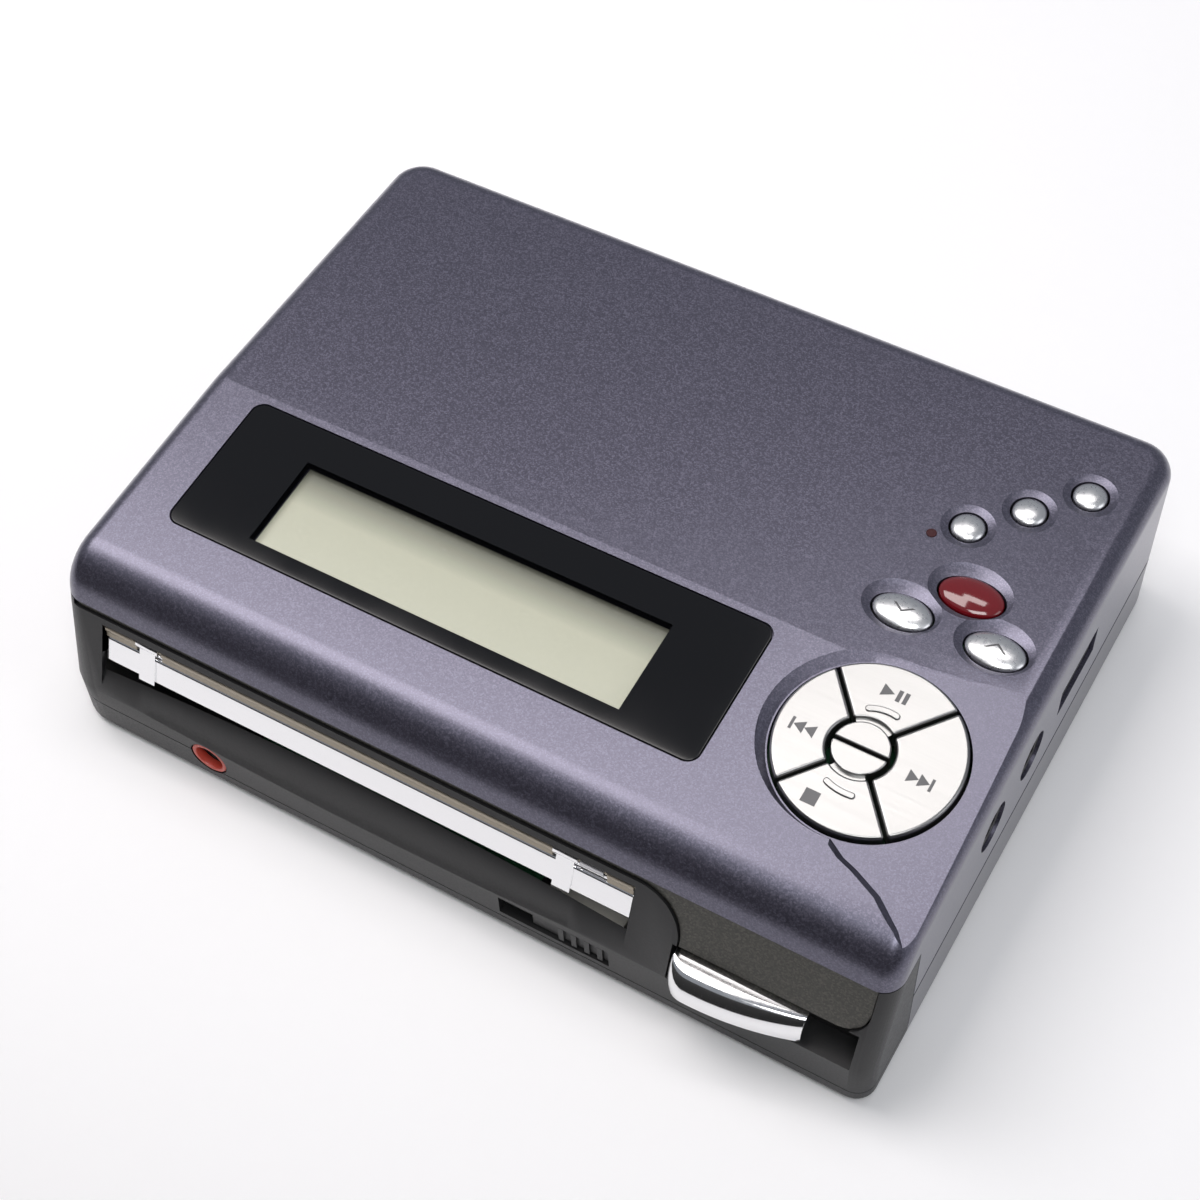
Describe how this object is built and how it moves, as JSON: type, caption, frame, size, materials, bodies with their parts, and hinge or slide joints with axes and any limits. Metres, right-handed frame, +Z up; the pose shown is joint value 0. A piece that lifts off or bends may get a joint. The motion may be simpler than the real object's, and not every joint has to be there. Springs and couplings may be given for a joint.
{
  "type": "portable minidisc recorder",
  "caption": "Flat pocket disc recorder with a slot-loading front flap, sliding eject lever, long display window, round four-way pad and small keys on its sloped top.",
  "frame": {"origin": "on the ground under the middle of the object", "axes": "+X right along the width, +Y towards the back, +Z up"},
  "size_m": [0.11, 0.0844, 0.0275],
  "materials": {
    "shell": "satin metallic",
    "shell_lower": "matte",
    "bezel": "matte",
    "trim": "satin metallic",
    "window": "gloss",
    "lcd": "gloss",
    "white_plastic": "matte",
    "pad_silver": "satin",
    "key_silver": "satin",
    "record_red": "gloss",
    "lamp": "gloss",
    "board": "satin",
    "chip": "matte",
    "chrome": "polished",
    "steel": "brushed",
    "aluminium": "satin",
    "black_plastic": "matte",
    "red_plastic": "satin",
    "rubber": "matte",
    "brass": "satin",
    "lens": "gloss",
    "battery_wrap": "satin"
  },
  "bodies": {
    "housing": {"top_shell": "shell", "front_bezel": "bezel", "front_trim": "trim", "bottom_shell": "shell_lower", "display_window": "window", "lcd_glass": "lcd", "lcd_frame": "white_plastic", "led_lens": "lamp", "key_switches": "white_plastic", "key_board": "board", "door_rod": "chrome", "door_spring": "steel", "eject_spring": "steel", "hold_switch": "white_plastic", "mic_jack": "black_plastic", "mic_ring": "red_plastic", "line_jack": "black_plastic", "phones_jack": "black_plastic", "remote_socket": "black_plastic", "jack_board": "board", "main_board": "board", "board_chips": "chip", "mechanism_chassis": "steel", "dampers": "rubber", "spindle_motor": "steel", "guide_rods": "chrome", "sled_motor": "steel", "battery": "battery_wrap", "battery_contacts": "brass", "case_screws": "steel", "feet": "rubber"},
    "play_key": {"play_button": "pad_silver"},
    "stop_key": {"stop_button": "pad_silver"},
    "prev_key": {"prev_button": "pad_silver"},
    "next_key": {"next_button": "pad_silver"},
    "volume_down_key": {"volume_down_button": "key_silver"},
    "volume_up_key": {"volume_up_button": "key_silver"},
    "record_key": {"record_button": "record_red"},
    "character_key": {"character_button": "key_silver"},
    "display_key": {"display_button": "key_silver"},
    "enter_key": {"enter_button": "key_silver"},
    "flap": {"slot_door": "chrome"},
    "eject": {"eject_lever": "chrome"},
    "hold": {"hold_slider": "black_plastic"},
    "holder": {"cartridge_holder": "steel"},
    "turntable": {"turntable": "aluminium"},
    "sled": {"pickup_sled": "aluminium", "objective_lens": "lens"},
    "screw": {"lead_screw": "brass", "screw_gear": "white_plastic"},
    "pinion": {"motor_pinion": "brass"},
    "arm": {"head_arm": "steel", "record_head": "black_plastic"},
    "battery_lid": {"battery_door": "shell_lower"}
  },
  "joints": [
    {"name": "play_press", "type": "slide", "parent": "housing", "child": "play_key", "axis": [0, 0.0906, -0.9959], "range_m": [0, 0.0004], "stiffness_N_per_m": 800},
    {"name": "stop_press", "type": "slide", "parent": "housing", "child": "stop_key", "axis": [0, 0.0906, -0.9959], "range_m": [0, 0.0004], "stiffness_N_per_m": 800},
    {"name": "prev_press", "type": "slide", "parent": "housing", "child": "prev_key", "axis": [0, 0.0906, -0.9959], "range_m": [0, 0.0004], "stiffness_N_per_m": 800},
    {"name": "next_press", "type": "slide", "parent": "housing", "child": "next_key", "axis": [0, 0.0906, -0.9959], "range_m": [0, 0.0004], "stiffness_N_per_m": 800},
    {"name": "volume_down_press", "type": "slide", "parent": "housing", "child": "volume_down_key", "axis": [0, 0, -1], "range_m": [0, 0.0004], "stiffness_N_per_m": 800},
    {"name": "volume_up_press", "type": "slide", "parent": "housing", "child": "volume_up_key", "axis": [0, 0, -1], "range_m": [0, 0.0004], "stiffness_N_per_m": 800},
    {"name": "record_press", "type": "slide", "parent": "housing", "child": "record_key", "axis": [0, 0, -1], "range_m": [0, 0.0004], "stiffness_N_per_m": 800},
    {"name": "character_press", "type": "slide", "parent": "housing", "child": "character_key", "axis": [0, 0, -1], "range_m": [0, 0.0004], "stiffness_N_per_m": 800},
    {"name": "display_press", "type": "slide", "parent": "housing", "child": "display_key", "axis": [0, 0, -1], "range_m": [0, 0.0004], "stiffness_N_per_m": 800},
    {"name": "enter_press", "type": "slide", "parent": "housing", "child": "enter_key", "axis": [0, 0, -1], "range_m": [0, 0.0004], "stiffness_N_per_m": 800},
    {"name": "flap_swing", "type": "hinge", "parent": "housing", "child": "flap", "pos_m": [-0.01215, -0.03602, 0.017], "axis": [1, 0, 0], "range_deg": [0, 108], "stiffness_Nm_per_rad": 0.0008},
    {"name": "eject_slide", "type": "slide", "parent": "housing", "child": "eject", "axis": [1, 0, 0], "range_m": [0, 0.0054], "stiffness_N_per_m": 150},
    {"name": "hold_slide", "type": "slide", "parent": "housing", "child": "hold", "axis": [-1, 0, 0], "range_m": [0, 0.004]},
    {"name": "holder_drop", "type": "slide", "parent": "housing", "child": "holder", "axis": [0, 0, -1], "range_m": [0, 0.0014], "stiffness_N_per_m": 600},
    {"name": "turntable_spin", "type": "hinge", "parent": "housing", "child": "turntable", "pos_m": [-0.01215, -0.00105, 0.009], "axis": [0, 0, 1], "continuous": true},
    {"name": "sled_slide", "type": "slide", "parent": "housing", "child": "sled", "axis": [1, 0, 0], "range_m": [0, 0.0165]},
    {"name": "screw_turn", "type": "hinge", "parent": "housing", "child": "screw", "pos_m": [0, -0.01425, 0.0067], "axis": [1, 0, 0], "range_deg": [0, 2480]},
    {"name": "pinion_turn", "type": "hinge", "parent": "housing", "child": "pinion", "pos_m": [-0.009, -0.01845, 0.0067], "axis": [1, 0, 0], "range_deg": [-4460, 0]},
    {"name": "arm_lower", "type": "hinge", "parent": "sled", "child": "arm", "pos_m": [0.0261, -0.00555, 0.0179], "axis": [0, -1, 0], "range_deg": [0, 8], "stiffness_Nm_per_rad": 0.01},
    {"name": "battery_lid_swing", "type": "hinge", "parent": "housing", "child": "battery_lid", "pos_m": [0.0473, 0.0242, 0.0013], "axis": [0, -1, 0], "range_deg": [0, 90]}
  ],
  "couplings": [
    {"joint": "screw_turn", "follows": "sled_slide", "rad_per_m": 2618},
    {"joint": "pinion_turn", "follows": "sled_slide", "rad_per_m": -4712.4}
  ]
}
